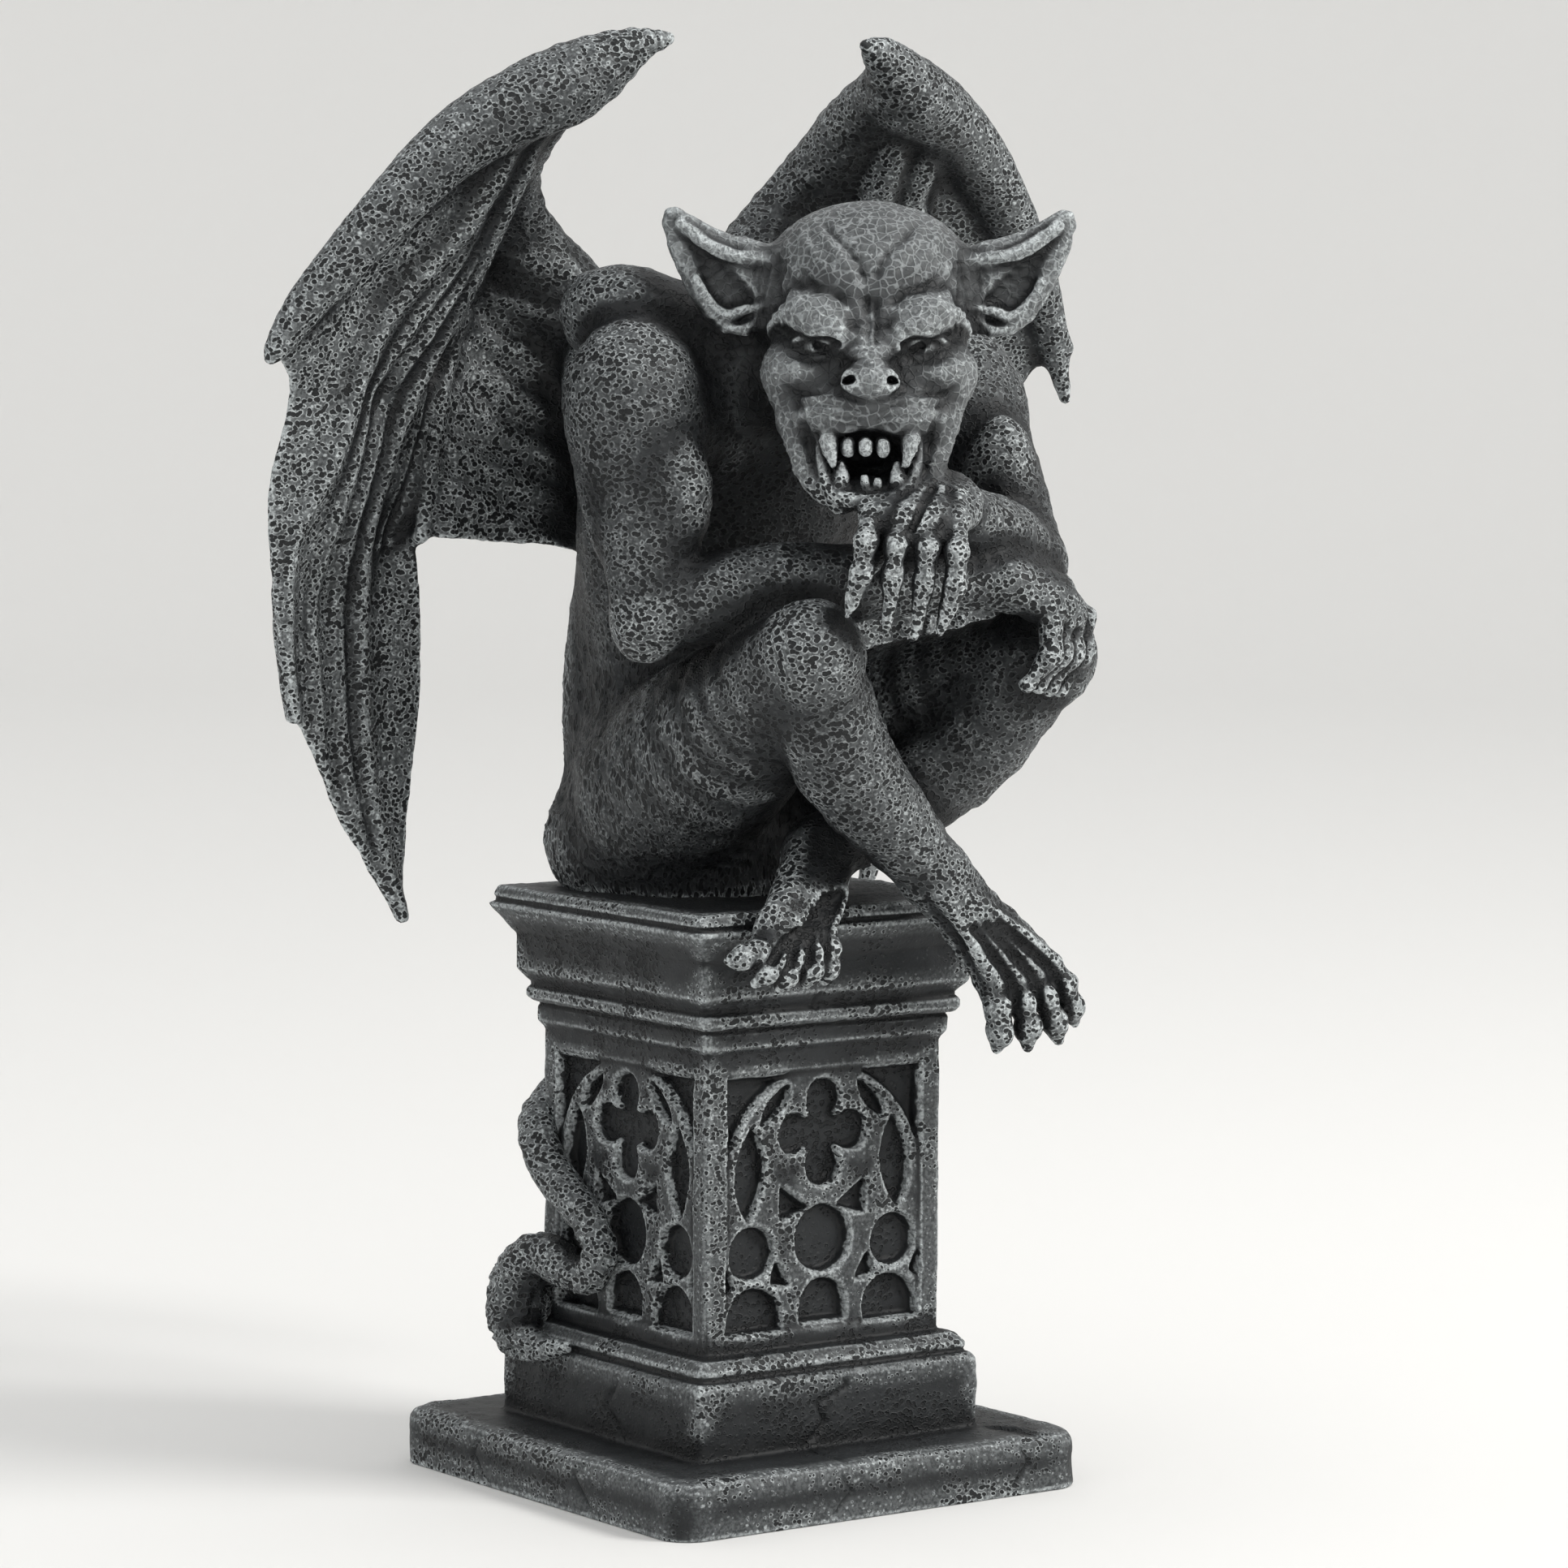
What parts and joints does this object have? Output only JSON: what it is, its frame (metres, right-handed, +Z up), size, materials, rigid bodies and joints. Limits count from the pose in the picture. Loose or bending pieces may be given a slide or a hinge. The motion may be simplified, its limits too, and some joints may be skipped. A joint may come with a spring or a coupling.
{
  "type": "gargoyle statue",
  "caption": "Winged gargoyle seated cross-legged on a square gothic plinth with blind tracery, a cast table or garden statue with a porous stone finish.",
  "frame": {"origin": "centre of the plinth's square underside", "axes": "+Z up, the plinth's faces square to X and Y, the seated figure looks towards -Y with its right side at -X"},
  "size_m": [0.206, 0.1347, 0.3012],
  "materials": {
    "figure_resin": "cast resin, charcoal with pale grey drybrushed edges, porous, matt",
    "plinth_resin": "cast resin, charcoal with pale grey drybrushed edges, pitted, matt"
  },
  "bodies": {
    "root": {"gargoyle": "figure_resin", "plinth": "plinth_resin"}
  },
  "joints": []
}
